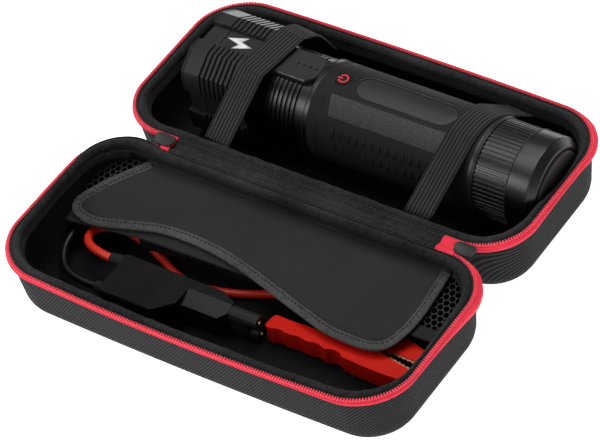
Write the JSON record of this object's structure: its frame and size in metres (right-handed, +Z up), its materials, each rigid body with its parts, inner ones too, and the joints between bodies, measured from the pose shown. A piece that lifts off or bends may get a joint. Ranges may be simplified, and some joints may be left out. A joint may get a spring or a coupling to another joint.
{
  "type": "jump starter pack",
  "caption": "Zip-up moulded carrying case lying open, with a torch-style jump starter under elastic straps and a clamp lead set under a flap.",
  "frame": {"origin": "on the floor under the middle of the fabric hinge, with the case open flat", "axes": "+X along the hinge towards the torch's tail, +Y from the hinge to the half that holds the torch, +Z up"},
  "size_m": [0.28, 0.2518, 0.0702],
  "materials": {
    "case_fabric": "woven ribbed polyester over moulded foam",
    "lining_fabric": "brushed lining",
    "binding_fabric": "padded tricot binding",
    "zip_red": "woven red zipper tape",
    "zip_teeth_red": "moulded coil",
    "webbing": "ribbed elastic webbing",
    "mesh": "hexagonal net",
    "flap_fabric": "smooth neoprene-backed cloth",
    "soft_rubber": "matt",
    "black_plastic": "fine spark texture",
    "satin_plastic": "satin",
    "lead_black": "silicone",
    "lead_red": "silicone",
    "clamp_red": "satin",
    "clamp_black": "satin",
    "steel": "plated",
    "copper_plate": "copper plated",
    "gold": "gold plated",
    "aluminium_black": "anodised",
    "board": "solder mask",
    "lens": "clear",
    "reflector": "vacuum metallised",
    "cell": "shrink sleeved steel can",
    "light_dark": "smoked light pipes"
  },
  "bodies": {
    "case_base": {"base_shell": "case_fabric", "base_lining": "lining_fabric", "base_binding": "binding_fabric", "base_zip_tape": "zip_red", "base_zip_teeth": "zip_teeth_red", "hinge_gusset": "lining_fabric", "zip_sliders": "black_plastic", "strap_left": "webbing", "strap_right": "webbing", "torch_head": "satin_plastic", "head_plates": "satin_plastic", "torch_bezel": "black_plastic", "bezel_screws": "steel", "torch_lenses": "lens", "torch_reflectors": "reflector", "led_board": "board", "torch_neck": "aluminium_black", "indicator_plate": "satin_plastic", "indicator_lights": "light_dark", "torch_core": "black_plastic", "battery_cells": "cell", "control_board": "board", "torch_grip": "soft_rubber", "grip_inlay": "satin_plastic", "rear_collar": "satin_plastic", "output_socket": "black_plastic"},
    "puller_left": {"puller_left": "soft_rubber"},
    "puller_right": {"puller_right": "soft_rubber"},
    "power_button": {"power_button": "soft_rubber"},
    "tail_cap": {"tail_ring": "black_plastic", "tail_sleeve": "satin_plastic", "tail_disc": "black_plastic"},
    "lid": {"lid_shell": "case_fabric", "lid_lining": "lining_fabric", "lid_binding": "binding_fabric", "lid_zip_tape": "zip_red", "lid_zip_teeth": "zip_teeth_red", "mesh_pocket": "mesh", "pocket_hem": "webbing", "module_top": "satin_plastic", "module_base": "black_plastic", "module_board": "board", "plug_body": "black_plastic", "plug_contacts": "gold", "lead_reliefs": "soft_rubber", "red_lead": "lead_red", "black_lead": "lead_black", "red_fixed_arm": "clamp_red", "red_fixed_jaw": "copper_plate", "black_fixed_arm": "clamp_black", "black_fixed_jaw": "copper_plate", "clamp_pins": "steel", "clamp_springs": "steel"},
    "flap": {"flap": "flap_fabric", "flap_binding": "binding_fabric"},
    "red_clamp_arm": {"red_moving_arm": "clamp_red", "red_moving_jaw": "copper_plate"},
    "black_clamp_arm": {"black_moving_arm": "clamp_black", "black_moving_jaw": "copper_plate"}
  },
  "joints": [
    {"name": "lid_hinge", "type": "hinge", "parent": "case_base", "child": "lid", "pos_m": [0, 0, 0.048], "axis": [-1, 0, 0], "range_deg": [0, 180]},
    {"name": "flap_lift", "type": "hinge", "parent": "lid", "child": "flap", "pos_m": [0, -0.0102, 0.0366], "axis": [1, 0, 0], "range_deg": [-75, 0]},
    {"name": "puller_left_swing", "type": "hinge", "parent": "case_base", "child": "puller_left", "pos_m": [-0.101, 0, 0.048], "axis": [0, -1, 0], "range_deg": [-120, 0]},
    {"name": "puller_right_swing", "type": "hinge", "parent": "case_base", "child": "puller_right", "pos_m": [0.101, 0, 0.048], "axis": [0, 1, 0], "range_deg": [-120, 0]},
    {"name": "power_button_press", "type": "slide", "parent": "case_base", "child": "power_button", "axis": [0, 0, -1], "range_m": [0, 0.0008], "stiffness_N_per_m": 500},
    {"name": "tail_cap_turn", "type": "hinge", "parent": "case_base", "child": "tail_cap", "pos_m": [0.091, 0.074, 0.0364], "axis": [1, 0, 0], "range_deg": [0, 90]},
    {"name": "red_clamp_open", "type": "hinge", "parent": "lid", "child": "red_clamp_arm", "pos_m": [0.09, -0.065, 0.0124], "axis": [0, 0, -1], "range_deg": [0, 15], "stiffness_Nm_per_rad": 0.6, "springref_deg": -17.19},
    {"name": "black_clamp_open", "type": "hinge", "parent": "lid", "child": "black_clamp_arm", "pos_m": [-0.02, -0.0339, 0.017], "axis": [0, 0, -1], "range_deg": [0, 15], "stiffness_Nm_per_rad": 0.6, "springref_deg": -17.19}
  ]
}
